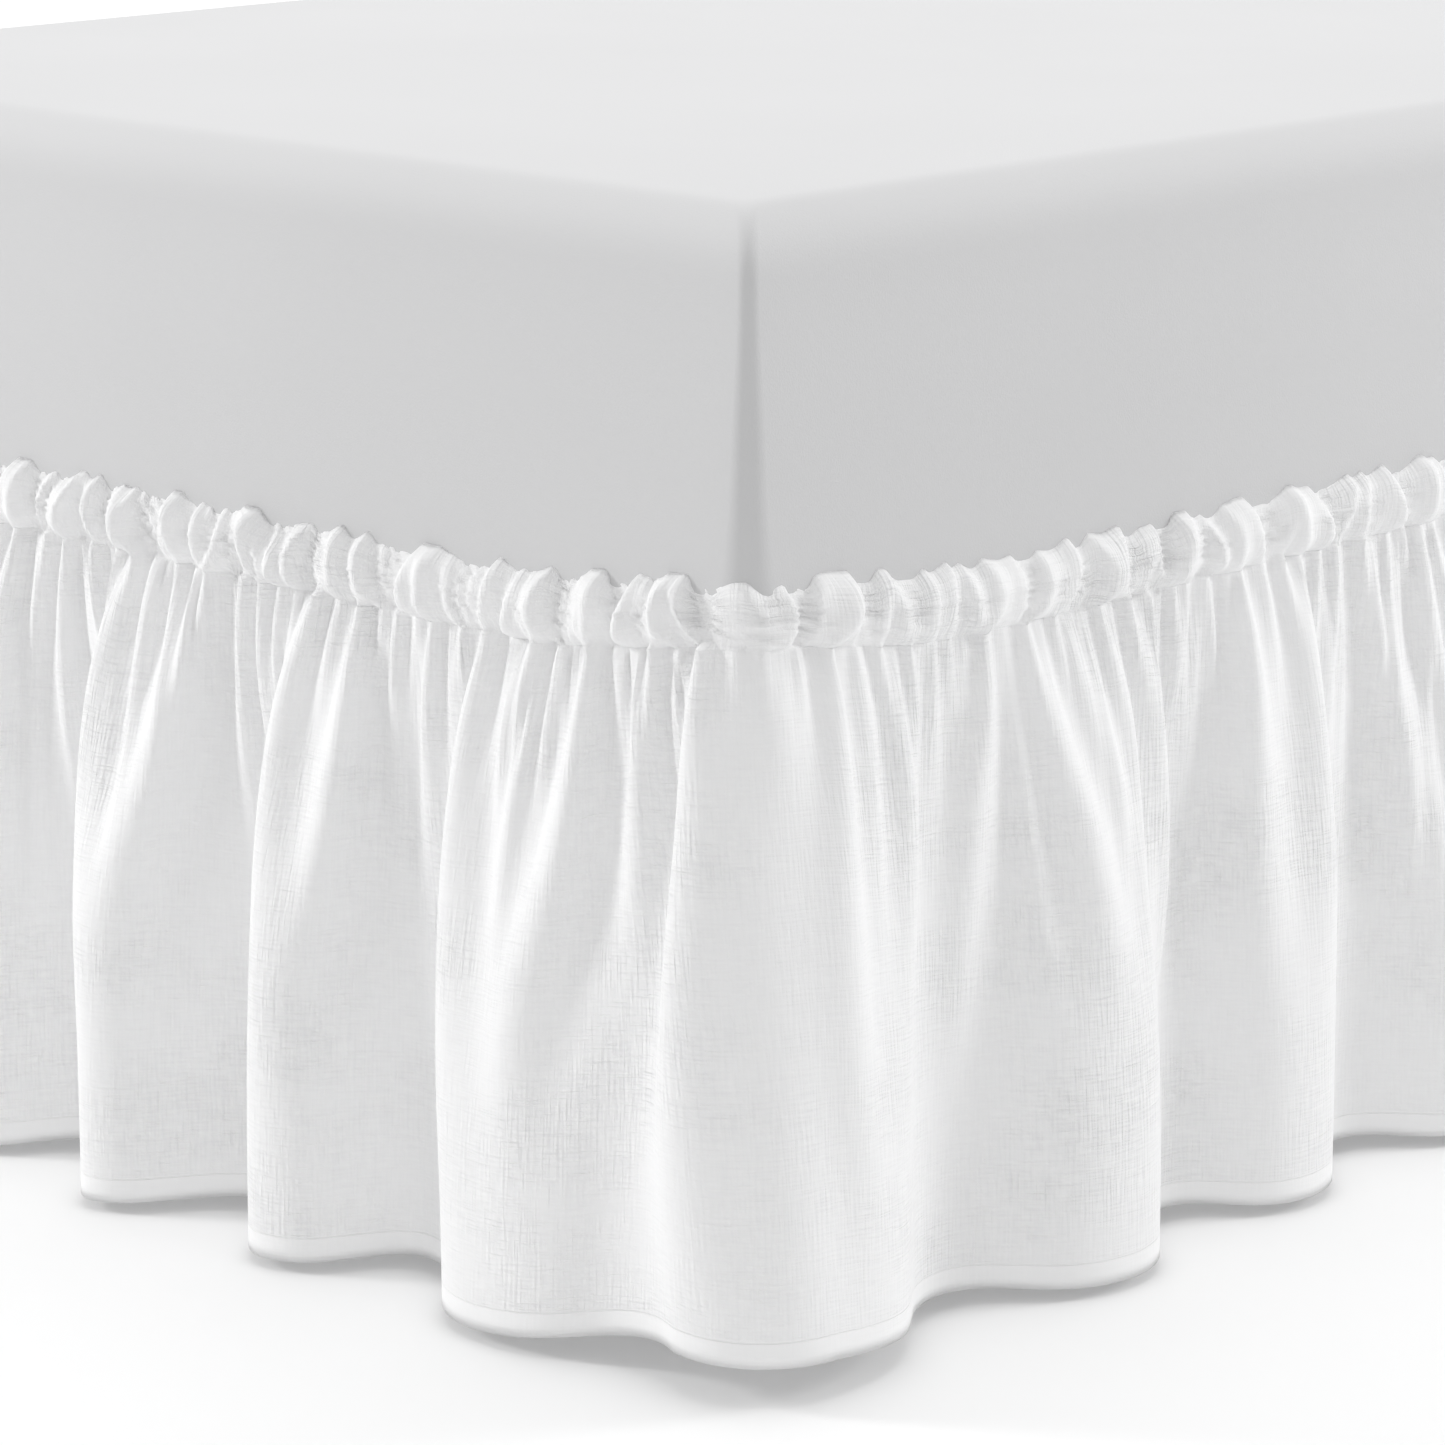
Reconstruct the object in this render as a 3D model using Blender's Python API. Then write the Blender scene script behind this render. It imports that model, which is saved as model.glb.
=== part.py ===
"""A gathered wrap-around bed skirt on a plain single bed.

The skirt is one drop of cloth all the way round the bed, gathered on to a puffed heading that grips
the bed where the mattress meets the base. The drop hangs in deep upright folds that start as small
gathers under the heading and merge on their way down to the hem.

The bed stands on z = 0 with its length along Y. Its foot is at -Y and its head at +Y. Every place on
the skirt is given by how far it is round the bed's outline, from the middle of the corner at
(+X, -Y), and by how far it stands out from the bed's side.
"""

import math
import random
from collections import namedtuple

import bmesh
import bpy

# The bed, a single of 39 x 75 inches
BED_WIDTH = 0.991
BED_LENGTH = 1.905
CORNER_RADIUS = 0.020
CORNER_STEPS = 6
LEG_HEIGHT = 0.030
LEG_RADIUS = 0.032
LEG_SIDES = 20
LEG_INSET = 0.110
BASE_TOP = 0.3997
BASE_EDGE = 0.006
MATTRESS_BOTTOM = 0.4000
MATTRESS_TOP = 0.614
MATTRESS_EDGE = 0.018
EDGE_STEPS = 4
TOUCH_GAP = 0.0003

# The skirt: a drop under a heading of 1.5 inches, 16 inches in all
CLOTH_THICKNESS = 0.0016
BED_CLEARANCE = 0.0022
SHIRRING_HEIGHT = 0.373
SHIRRING_GAP = 0.0005
HEADING_HEIGHT = 0.038
HEM_HEIGHT = 0.006
VALLEY_HEM_LIFT = 0.004

# The heading rides up a little on each corner of the bed, and the drop hangs from it
CORNER_RISE = 0.018
CORNER_RISE_REACH = 0.088
TOP_CORNER_RISE = 0.014
TOP_CORNER_RISE_REACH = 0.105
HEM_CORNER_RISE = 0.015

# Levels of the drop from the shirring, 0, to the hem, 1, and how far the folds have opened there
DropLevel = namedtuple("DropLevel", "down opened gather")
DROP_LEVELS = (
    DropLevel(down=0.00, opened=0.00, gather=0.0018),
    DropLevel(down=0.06, opened=0.16, gather=0.0024),
    DropLevel(down=0.17, opened=0.34, gather=0.0015),
    DropLevel(down=0.37, opened=0.58, gather=0.0),
    DropLevel(down=0.66, opened=0.82, gather=0.0),
    DropLevel(down=1.00, opened=1.00, gather=0.0),
)
SHIRRING_DEPTH = 0.0058
CORNER_DEPTH = 0.0075
HALF_FOLD_STEPS = (0.0, 0.24, 0.5, 0.76)
CORNER_FOLD_STEPS = (0.0, 0.12, 0.24, 0.37, 0.5, 0.63, 0.76, 0.88)
CORNER_CREST_DEPTH = 0.052
CORNER_CREST_ROUND = 0.78

# One row for each fold on either side of the corner at (+X, -Y): its crest, the valley after it, how
# far each stands out from the bed's side, and how broadly each is rounded, as a share of the half fold.
Fold = namedtuple("Fold", "crest crest_depth crest_round valley valley_depth valley_round")
CORNER_FOLDS = (
    Fold(-0.585, 0.056, 0.55, -0.512, 0.005, 0.50),
    Fold(-0.452, 0.068, 0.45, -0.366, 0.005, 0.45),
    Fold(-0.310, 0.061, 0.60, -0.232, 0.005, 0.45),
    Fold(-0.143, 0.056, 0.62, -0.042, 0.029, 0.45),
    Fold(0.030, 0.046, 0.62, 0.142, 0.006, 0.42),
    Fold(0.247, 0.056, 0.60, 0.332, 0.005, 0.45),
    Fold(0.416, 0.048, 0.60, 0.496, 0.005, 0.45),
    Fold(0.584, 0.052, 0.55, 0.662, 0.006, 0.45),
)

# The rest of the folds repeat this spacing, as uneven as those above
FOLD_PITCH = 0.146
PITCH_SPREAD = 0.17
VALLEY_PLACE = (0.50, 0.62)
CREST_DEPTHS = (0.046, 0.064)
VALLEY_DEPTHS = (0.005, 0.009)
ROUNDINGS = (0.42, 0.62)
FOLD_SEED = 11

# The heading's puffs, from one gather to the next
PUFF_PITCH = 0.031
PUFF_SPREAD = 0.22
PUFF_SEED = 5
CORNER_PUFF_STEPS = 4
HeadingPoint = namedtuple("HeadingPoint", "up proud_crest proud_valley")
HEADING_OUTSIDE = (
    HeadingPoint(up=0.00, proud_crest=0.0085, proud_valley=0.0065),
    HeadingPoint(up=0.24, proud_crest=0.0145, proud_valley=0.0078),
    HeadingPoint(up=0.70, proud_crest=0.0150, proud_valley=0.0072),
    HeadingPoint(up=1.00, proud_crest=0.0085, proud_valley=0.0045),
)
HEADING_INSIDE_TOP = 0.93
HEADING_SCALLOP = 0.0045
HEADING_CORNER_CLEARANCE = 0.0007

SIDES = (
    BED_LENGTH - 2 * CORNER_RADIUS,
    BED_WIDTH - 2 * CORNER_RADIUS,
    BED_LENGTH - 2 * CORNER_RADIUS,
    BED_WIDTH - 2 * CORNER_RADIUS,
)
CORNER_ARC = CORNER_RADIUS * math.pi / 2
OUTLINE_LENGTH = sum(SIDES) + 4 * CORNER_ARC


def mix(first, second, share):
    return first + (second - first) * share


def outline_point(along, out):
    """The place `along` the bed's outline, moved `out` from its side, as x and y."""
    centre_x = BED_WIDTH / 2 - CORNER_RADIUS
    centre_y = BED_LENGTH / 2 - CORNER_RADIUS
    centres = (
        (centre_x, -centre_y),
        (centre_x, centre_y),
        (-centre_x, centre_y),
        (-centre_x, -centre_y),
    )
    left = (along + CORNER_ARC / 2) % OUTLINE_LENGTH
    reach = CORNER_RADIUS + out
    for quarter, ((x, y), side) in enumerate(zip(centres, SIDES)):
        facing = quarter * math.pi / 2
        if left < CORNER_ARC:
            turned = facing - math.pi / 2 + left / CORNER_RADIUS
            return x + reach * math.cos(turned), y + reach * math.sin(turned)
        left -= CORNER_ARC
        if left < side:
            return (
                x + reach * math.cos(facing) - left * math.sin(facing),
                y + reach * math.sin(facing) + left * math.cos(facing),
            )
        left -= side
    return outline_point(0.0, out)


def corner_places():
    """How far round the outline the middle of each corner is."""
    places = [0.0]
    for side in SIDES[:3]:
        places.append(places[-1] + side + CORNER_ARC)
    return places


CORNERS = corner_places()


def from_corner(along):
    """The distance along the outline to the nearest corner's middle."""
    half = OUTLINE_LENGTH / 2
    return min(abs((along - corner + half) % OUTLINE_LENGTH - half) for corner in CORNERS)


def rise(along, height, reach):
    """How much higher a line of the skirt lies near a corner of the bed."""
    return height * math.exp(-((from_corner(along) / reach) ** 2))


def shirring_z(along):
    return SHIRRING_HEIGHT + rise(along, CORNER_RISE, CORNER_RISE_REACH)


def heading_top_z(along):
    top = SHIRRING_HEIGHT + HEADING_HEIGHT
    return top + rise(along, TOP_CORNER_RISE, TOP_CORNER_RISE_REACH)


def rest_of_folds(chance):
    """Folds for the stretch that CORNER_FOLDS leaves, with a crest on each further corner."""
    start = CORNER_FOLDS[-1].valley
    end = OUTLINE_LENGTH + CORNER_FOLDS[0].crest
    stops = [start, *CORNERS[1:], end]
    folds = []
    for number, (first, last) in enumerate(zip(stops, stops[1:])):
        from_valley = number == 0
        count = max(2, round((last - first) / FOLD_PITCH - 0.5 * from_valley))
        widths = [1 + chance.uniform(-PITCH_SPREAD, PITCH_SPREAD) for _ in range(count)]
        if from_valley:
            widths.insert(0, 0.5)
        scale = (last - first) / sum(widths)
        place = first
        if from_valley:
            place += widths.pop(0) * scale
        for width in widths:
            valley = place + width * scale * chance.uniform(*VALLEY_PLACE)
            crest_depth = chance.uniform(*CREST_DEPTHS)
            crest_round = chance.uniform(*ROUNDINGS)
            if place in CORNERS:
                crest_depth = CORNER_CREST_DEPTH
                crest_round = CORNER_CREST_ROUND
            valley_depth = chance.uniform(*VALLEY_DEPTHS)
            valley_round = chance.uniform(*ROUNDINGS)
            folds.append(Fold(place, crest_depth, crest_round, valley, valley_depth, valley_round))
            place += width * scale
    return folds


def hem_columns():
    """The hem's line as (along, depth, how much of a valley it is), one for each column of the drop."""
    folds = list(CORNER_FOLDS) + rest_of_folds(random.Random(FOLD_SEED))
    turns = []
    for fold in folds:
        turns.append((fold.crest, fold.crest_depth, fold.crest_round, 0.0))
        turns.append((fold.valley, fold.valley_depth, fold.valley_round, 1.0))
    first = turns[0]
    turns.append((first[0] + OUTLINE_LENGTH, *first[1:]))
    columns = []
    for turn, next_turn in zip(turns, turns[1:]):
        place, depth, rounding, low = turn
        next_place, next_depth, next_rounding, next_low = next_turn
        width = next_place - place
        handles = (place, place + rounding * width, next_place - next_rounding * width, next_place)
        depths = (depth, depth, next_depth, next_depth)
        turns_corner = min(abs(place - corner) for corner in CORNERS) < width or place < 0.0 < next_place
        for step in CORNER_FOLD_STEPS if turns_corner else HALF_FOLD_STEPS:
            weights = ((1 - step) ** 3, 3 * step * (1 - step) ** 2, 3 * step**2 * (1 - step), step**3)
            columns.append(
                (
                    sum(weight * value for weight, value in zip(weights, handles)),
                    sum(weight * value for weight, value in zip(weights, depths)),
                    mix(low, next_low, step),
                )
            )
    return columns


def drop_rings():
    """The middle of the cloth at each level of the drop, as rings of (x, y, z)."""
    columns = hem_columns()
    rings = []
    for level in DROP_LEVELS:
        ring = []
        for number, (along, depth, low) in enumerate(columns):
            gather = level.gather * (1 if number % 2 else -1)
            out = mix(SHIRRING_DEPTH, depth, level.opened) + gather
            near_corner = from_corner(along) < 2 * CORNER_ARC
            least = CORNER_DEPTH if near_corner else BED_CLEARANCE + CLOTH_THICKNESS / 2
            x, y = outline_point(along, max(out, least))
            hem = HEM_HEIGHT + VALLEY_HEM_LIFT * low + rise(along, HEM_CORNER_RISE, CORNER_RISE_REACH)
            ring.append((x, y, mix(shirring_z(along) - SHIRRING_GAP, hem, level.down)))
        rings.append(ring)
    return rings


def thickened(ring, offset):
    """The ring moved by `offset` square to its line in plan, outwards where positive."""
    moved = []
    count = len(ring)
    for number, (x, y, z) in enumerate(ring):
        before = ring[number - 1]
        after = ring[(number + 1) % count]
        run_x = after[0] - before[0]
        run_y = after[1] - before[1]
        length = math.hypot(run_x, run_y)
        moved.append((x + offset * run_y / length, y - offset * run_x / length, z))
    return moved


def heading_sections():
    """The heading's cross-section at each column, as a list of rings that run up the outside and back."""
    chance = random.Random(PUFF_SEED)
    places = []
    for corner, side in zip(CORNERS, SIDES):
        for step in range(CORNER_PUFF_STEPS):
            places.append(corner - CORNER_ARC / 2 + CORNER_ARC * step / CORNER_PUFF_STEPS)
        count = 2 * round(side / PUFF_PITCH)
        widths = [1 + chance.uniform(-PUFF_SPREAD, PUFF_SPREAD) for _ in range(count)]
        scale = side / sum(widths)
        place = corner + CORNER_ARC / 2
        for width in widths:
            places.append(place)
            place += width * scale
    rings = [[] for _ in range(len(HEADING_OUTSIDE) + 2)]
    for number, along in enumerate(places):
        crest = number % 2
        low = shirring_z(along)
        scallop = chance.uniform(0.3, 1.0) * HEADING_SCALLOP * (1 if crest else -1)
        high = heading_top_z(along) + scallop
        near_corner = from_corner(along) <= CORNER_ARC
        inside = HEADING_CORNER_CLEARANCE if near_corner else TOUCH_GAP
        for ring, point in zip(rings, HEADING_OUTSIDE):
            proud = (point.proud_crest if crest else point.proud_valley) * chance.uniform(0.92, 1.08)
            ring.append((*outline_point(along, proud), mix(low, high, point.up)))
        ring_top, ring_low = rings[-2:]
        ring_top.append((*outline_point(along, inside), mix(low, high, HEADING_INSIDE_TOP)))
        ring_low.append((*outline_point(along, inside), low))
    return rings


def closed_tube(name, rings):
    """One closed mesh from rings of equal length, each joined to the next and the last to the first."""
    mesh = bpy.data.meshes.new(name)
    shape = bmesh.new()
    grid = [[shape.verts.new(point) for point in ring] for ring in rings]
    count = len(rings[0])
    for number, ring in enumerate(grid):
        above = grid[(number + 1) % len(grid)]
        for column in range(count):
            after = (column + 1) % count
            shape.faces.new((ring[column], ring[after], above[after], above[column]))
    bmesh.ops.recalc_face_normals(shape, faces=shape.faces)
    shape.to_mesh(mesh)
    shape.free()
    if mesh.validate():
        raise ValueError(f"{name} has a face that Blender can't keep")
    return mesh


def slab(name, half_width, half_length, low, high, edge):
    """A block with rounded upright corners, whose top and bottom edges are rounded by `edge`."""
    shape = bmesh.new()
    bmesh.ops.create_cube(shape, size=1.0)
    for vert in shape.verts:
        vert.co.x *= 2 * half_width
        vert.co.y *= 2 * half_length
        vert.co.z = low if vert.co.z < 0 else high
    upright = [e for e in shape.edges if abs(e.verts[0].co.z - e.verts[1].co.z) > edge]
    bmesh.ops.bevel(
        shape, geom=upright, offset=CORNER_RADIUS, segments=CORNER_STEPS, profile=0.5, affect="EDGES"
    )
    rims = [e for e in shape.edges if abs(e.verts[0].co.z - e.verts[1].co.z) < 1e-6]
    bmesh.ops.bevel(shape, geom=rims, offset=edge, segments=EDGE_STEPS, profile=0.5, affect="EDGES")
    mesh = bpy.data.meshes.new(name)
    shape.to_mesh(mesh)
    shape.free()
    return mesh


def leg_mesh(name):
    shape = bmesh.new()
    bmesh.ops.create_cone(
        shape, cap_ends=True, segments=LEG_SIDES, radius1=LEG_RADIUS, radius2=LEG_RADIUS,
        depth=LEG_HEIGHT - TOUCH_GAP,
    )
    mesh = bpy.data.meshes.new(name)
    shape.to_mesh(mesh)
    shape.free()
    return mesh


def material(name, colour, roughness, sheen=0.0):
    finish = bpy.data.materials.new(name)
    finish.use_nodes = True
    shader = finish.node_tree.nodes["Principled BSDF"]
    shader.inputs["Base Color"].default_value = (*colour, 1.0)
    shader.inputs["Roughness"].default_value = roughness
    shader.inputs["Metallic"].default_value = 0.0
    shader.inputs["Sheen Weight"].default_value = sheen
    return finish


def place(name, mesh, finish, parent, location=(0.0, 0.0, 0.0), smooth_angle=50):
    mesh.materials.append(finish)
    mesh.shade_smooth()
    mesh.set_sharp_from_angle(angle=math.radians(smooth_angle))
    thing = bpy.data.objects.new(name, mesh)
    thing.location = location
    thing.parent = parent
    bpy.context.scene.collection.objects.link(thing)
    return thing


def clear_scene():
    for thing in list(bpy.data.objects):
        bpy.data.objects.remove(thing, do_unlink=True)


def build_bed(bed):
    ticking = material("mattress_ticking", (0.78, 0.78, 0.79), 0.85)
    upholstery = material("base_upholstery", (0.72, 0.72, 0.73), 0.85)
    plastic = material("leg_plastic", (0.04, 0.04, 0.045), 0.5)
    half_width = BED_WIDTH / 2
    half_length = BED_LENGTH / 2
    mattress = slab("mattress", half_width, half_length, MATTRESS_BOTTOM, MATTRESS_TOP, MATTRESS_EDGE)
    place("mattress", mattress, ticking, bed)
    base = slab("bed_base", half_width, half_length, LEG_HEIGHT, BASE_TOP, BASE_EDGE)
    place("bed_base", base, upholstery, bed)
    leg_x = half_width - LEG_INSET
    leg_y = half_length - LEG_INSET
    spots = [(x, y) for y in (-leg_y, 0.0, leg_y) for x in (-leg_x, leg_x)]
    for number, (x, y) in enumerate(spots, start=1):
        name = f"leg_{number}"
        place(name, leg_mesh(name), plastic, bed, (x, y, (LEG_HEIGHT - TOUCH_GAP) / 2))


def build_skirt(bed):
    cloth = material("skirt_cloth", (0.93, 0.93, 0.93), 0.9, sheen=0.1)
    heading_cloth = material("heading_cloth", (0.94, 0.94, 0.94), 0.9, sheen=0.1)
    middle = drop_rings()
    half = CLOTH_THICKNESS / 2
    front = [thickened(ring, half) for ring in middle]
    back = [thickened(ring, -half) for ring in middle]
    place("skirt_drop", closed_tube("skirt_drop", front + back[::-1]), cloth, bed)
    place("skirt_heading", closed_tube("skirt_heading", heading_sections()), heading_cloth, bed)


def main():
    clear_scene()
    bed = bpy.data.objects.new("bed", None)
    bpy.context.scene.collection.objects.link(bed)
    build_bed(bed)
    build_skirt(bed)


main()
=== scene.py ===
# %% [markdown]
# # A gathered bed skirt, dressed for its picture
# A bed skirt is a long strip of light cloth that hides the bed's base. A maker hems one edge, sews a
# casing along the other, and gathers the strip until it fits round the bed. Everything that makes it
# look like cloth comes from that one fact: there is about a third more cloth than there is bed. This
# lesson builds the cloth from that fact, lets it settle, and then finishes and lights it.

import math
import random
from collections import namedtuple

import bpy
import numpy as np
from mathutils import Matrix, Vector


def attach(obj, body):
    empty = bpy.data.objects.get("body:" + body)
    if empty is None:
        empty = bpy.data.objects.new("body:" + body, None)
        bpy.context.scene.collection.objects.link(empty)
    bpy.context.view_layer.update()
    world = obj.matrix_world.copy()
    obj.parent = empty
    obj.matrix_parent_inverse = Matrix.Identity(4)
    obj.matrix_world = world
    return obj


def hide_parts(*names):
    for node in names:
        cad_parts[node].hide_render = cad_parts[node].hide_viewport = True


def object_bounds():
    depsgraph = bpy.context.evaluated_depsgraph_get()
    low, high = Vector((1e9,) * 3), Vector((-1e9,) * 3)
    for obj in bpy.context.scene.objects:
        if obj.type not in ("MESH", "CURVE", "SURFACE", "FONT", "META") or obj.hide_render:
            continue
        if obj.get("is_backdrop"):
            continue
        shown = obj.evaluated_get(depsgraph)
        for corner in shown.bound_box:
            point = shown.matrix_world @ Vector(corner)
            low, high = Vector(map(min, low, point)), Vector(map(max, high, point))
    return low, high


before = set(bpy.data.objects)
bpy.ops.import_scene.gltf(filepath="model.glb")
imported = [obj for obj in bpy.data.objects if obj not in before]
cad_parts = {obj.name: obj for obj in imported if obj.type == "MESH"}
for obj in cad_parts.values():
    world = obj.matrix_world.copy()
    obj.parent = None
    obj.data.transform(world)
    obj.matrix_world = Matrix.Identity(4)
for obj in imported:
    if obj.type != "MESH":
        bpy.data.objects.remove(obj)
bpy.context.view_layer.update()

# %% [markdown]
# ## Measuring round the bed
# A sewer gives a place on a skirt by how far it is round the bed and how far it stands out from the
# bed's side. We do the same, and start from the middle of the near corner. The outline is a rectangle
# with rounded corners, so each quarter of it is one arc and one straight side. Working on whole arrays
# at once keeps this quick for many points.

# %% The bed's outline
BED_WIDTH = 0.991
BED_LENGTH = 1.905
CORNER_RADIUS = 0.020
INNER_X = BED_WIDTH / 2 - CORNER_RADIUS
INNER_Y = BED_LENGTH / 2 - CORNER_RADIUS
CENTRES = np.array([(INNER_X, -INNER_Y), (INNER_X, INNER_Y), (-INNER_X, INNER_Y), (-INNER_X, -INNER_Y)])
SIDES = (2 * INNER_Y, 2 * INNER_X, 2 * INNER_Y, 2 * INNER_X)
CORNER_ARC = CORNER_RADIUS * math.pi / 2
OUTLINE = sum(SIDES) + 4 * CORNER_ARC
QUARTER_STARTS = np.cumsum([0.0] + [CORNER_ARC + side for side in SIDES[:3]])
CORNERS = list(QUARTER_STARTS)


def on_outline(along, out):
    """x and y of places `along` the outline, moved `out` from the bed's side."""
    left = np.mod(along + CORNER_ARC / 2, OUTLINE)
    quarter = np.searchsorted(QUARTER_STARTS, left, side="right") - 1
    local = left - QUARTER_STARTS[quarter]
    facing = quarter * math.pi / 2
    turned = facing - math.pi / 2 + np.minimum(local, CORNER_ARC) / CORNER_RADIUS
    run = np.maximum(local - CORNER_ARC, 0.0)
    x = CENTRES[quarter, 0] + (CORNER_RADIUS + out) * np.cos(turned) - run * np.sin(facing)
    y = CENTRES[quarter, 1] + (CORNER_RADIUS + out) * np.sin(turned) + run * np.cos(facing)
    return x, y


def from_corner(along):
    """How far along the outline the nearest corner is."""
    apart = [np.abs(np.mod(along - corner + OUTLINE / 2, OUTLINE) - OUTLINE / 2) for corner in CORNERS]
    return np.min(apart, axis=0)


print("round the bed:", round(OUTLINE, 4), "m")

# %% [markdown]
# ## The lines the cloth hangs between
# The drop is sewn to the heading along the shirring, the row of stitches that gathers it, and ends at
# the hem. The heading rides up a little where it turns each corner of the bed, and takes the drop with
# it. These are the same sizes as the solid model has.

# %% Heights of the shirring, heading and hem
SHIRRING_HEIGHT = 0.373
HEADING_HEIGHT = 0.038
HEM_HEIGHT = 0.006
VALLEY_HEM_LIFT = 0.004
CORNER_RISE = 0.018
CORNER_RISE_REACH = 0.088
TOP_CORNER_RISE = 0.014
TOP_CORNER_RISE_REACH = 0.105
HEM_CORNER_RISE = 0.015


def rise(along, height, reach):
    """How much a line is lifted near the bed's corners."""
    return height * np.exp(-((from_corner(along) / reach) ** 2))


def shirring_z(along):
    return SHIRRING_HEIGHT + rise(along, CORNER_RISE, CORNER_RISE_REACH)


def heading_top_z(along):
    return SHIRRING_HEIGHT + HEADING_HEIGHT + rise(along, TOP_CORNER_RISE, TOP_CORNER_RISE_REACH)


print("shirring at", SHIRRING_HEIGHT, "m, and at a corner", round(float(shirring_z(np.array(0.0))), 3), "m")

# %% [markdown]
# ## The folds at the hem
# At the hem the cloth is free, so it opens into deep rounded folds. Each has a crest that stands out
# and a valley near the bed. Those by the near corner are placed one by one. A fold's row says
# where its crest is, how far it stands out and how broad it turns, and then the same of its valley.

# %% The table of folds
Fold = namedtuple("Fold", "crest crest_depth crest_round valley valley_depth valley_round")
CORNER_FOLDS = (
    Fold(-0.585, 0.056, 0.55, -0.512, 0.005, 0.50),
    Fold(-0.452, 0.068, 0.45, -0.366, 0.005, 0.45),
    Fold(-0.310, 0.061, 0.60, -0.232, 0.005, 0.45),
    Fold(-0.143, 0.056, 0.62, -0.042, 0.029, 0.45),
    Fold(0.030, 0.046, 0.62, 0.142, 0.006, 0.42),
    Fold(0.247, 0.056, 0.60, 0.332, 0.005, 0.45),
    Fold(0.416, 0.048, 0.60, 0.496, 0.005, 0.45),
    Fold(0.584, 0.052, 0.55, 0.662, 0.006, 0.45),
)
print("folds placed by hand:", len(CORNER_FOLDS))

# %% [markdown]
# ## The other folds
# The rest of the bed repeats the spacing of the folds in the table, as uneven as those are. Each
# further corner of the bed gets a crest of its own, because the cloth is pushed out there.

# %% Folds for the rest of the bed
FOLD_PITCH = 0.146
PITCH_SPREAD = 0.17
VALLEY_PLACE = (0.50, 0.62)
CREST_DEPTHS = (0.046, 0.064)
VALLEY_DEPTHS = (0.005, 0.009)
ROUNDINGS = (0.42, 0.62)
CORNER_CREST = (0.052, 0.78)


def other_folds(chance):
    """The folds of the stretch that the table leaves, with a crest on each further corner."""
    start = CORNER_FOLDS[-1].valley
    stops = [start, *CORNERS[1:], OUTLINE + CORNER_FOLDS[0].crest]
    folds = []
    for number, (first, last) in enumerate(zip(stops, stops[1:])):
        from_valley = number == 0  # the first stretch starts half way through a fold
        count = max(2, round((last - first) / FOLD_PITCH - 0.5 * from_valley))
        widths = [1 + chance.uniform(-PITCH_SPREAD, PITCH_SPREAD) for _ in range(count)]
        if from_valley:
            widths.insert(0, 0.5)
        scale = (last - first) / sum(widths)
        place = first
        if from_valley:
            place += widths.pop(0) * scale
        for width in widths:
            valley = place + width * scale * chance.uniform(*VALLEY_PLACE)
            crest_depth = chance.uniform(*CREST_DEPTHS)
            crest_round = chance.uniform(*ROUNDINGS)
            if place in CORNERS:
                crest_depth, crest_round = CORNER_CREST
            valley_depth = chance.uniform(*VALLEY_DEPTHS)
            valley_round = chance.uniform(*ROUNDINGS)
            folds.append(Fold(place, crest_depth, crest_round, valley, valley_depth, valley_round))
            place += width * scale
    return folds


all_folds = list(CORNER_FOLDS) + other_folds(random.Random(11))
behind = [fold for fold in all_folds if fold.crest > OUTLINE / 2]
folds = [fold._replace(crest=fold.crest - OUTLINE, valley=fold.valley - OUTLINE) for fold in behind]
folds += [fold for fold in all_folds if fold.crest <= OUTLINE / 2]
print("folds round the bed:", len(folds))

# %% [markdown]
# ## How much cloth there is
# The length of the hem's line is the length of the strip before it was gathered. Dividing it by the
# way round the bed gives the fullness, which sewers reckon first. Light cloth is usually cut a third to
# a half longer than the bed. A cubic curve from each crest to the next valley gives the S shape of
# hanging cloth.

# %% The hem's line and the strip's length
CURVE_STEPS = 48
turns = []
for fold in folds:
    turns.append((fold.crest, fold.crest_depth, fold.crest_round, 0.0))
    turns.append((fold.valley, fold.valley_depth, fold.valley_round, 1.0))
turns.append((turns[0][0] + OUTLINE, *turns[0][1:]))
steps = np.arange(CURVE_STEPS) / CURVE_STEPS
weights = np.stack([(1 - steps) ** 3, 3 * steps * (1 - steps) ** 2, 3 * steps**2 * (1 - steps), steps**3])
curve_along, curve_out, curve_low = [], [], []
for turn, after in zip(turns, turns[1:]):
    width = after[0] - turn[0]
    handles = np.array([turn[0], turn[0] + turn[2] * width, after[0] - after[2] * width, after[0]])
    depths = np.array([turn[1], turn[1], after[1], after[1]])
    curve_along.append(handles @ weights)
    curve_out.append(depths @ weights)
    curve_low.append(turn[3] + (after[3] - turn[3]) * steps)
curve_along = np.append(np.concatenate(curve_along), turns[-1][0])
curve_out = np.append(np.concatenate(curve_out), turns[-1][1])
curve_low = np.append(np.concatenate(curve_low), turns[-1][3])
curve_x, curve_y = on_outline(curve_along, curve_out)
curve_cloth = np.append(0.0, np.cumsum(np.hypot(np.diff(curve_x), np.diff(curve_y))))
CLOTH_LENGTH = curve_cloth[-1]
FULLNESS = CLOTH_LENGTH / OUTLINE
print("strip:", round(CLOTH_LENGTH, 3), "m, fullness", round(FULLNESS, 3))

# %% [markdown]
# ## A grid that follows the threads
# The cloth is a grid whose lines run along the weave, because then every edge of the grid has a length
# that real cloth would keep. The columns are closer near the corner that is seen from close by.

# %% Columns of the drop
NEAR = 0.66
NEAR_FADE = 0.12
FINE_COLUMN = 0.0027
COARSE_COLUMN = 0.0084


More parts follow.
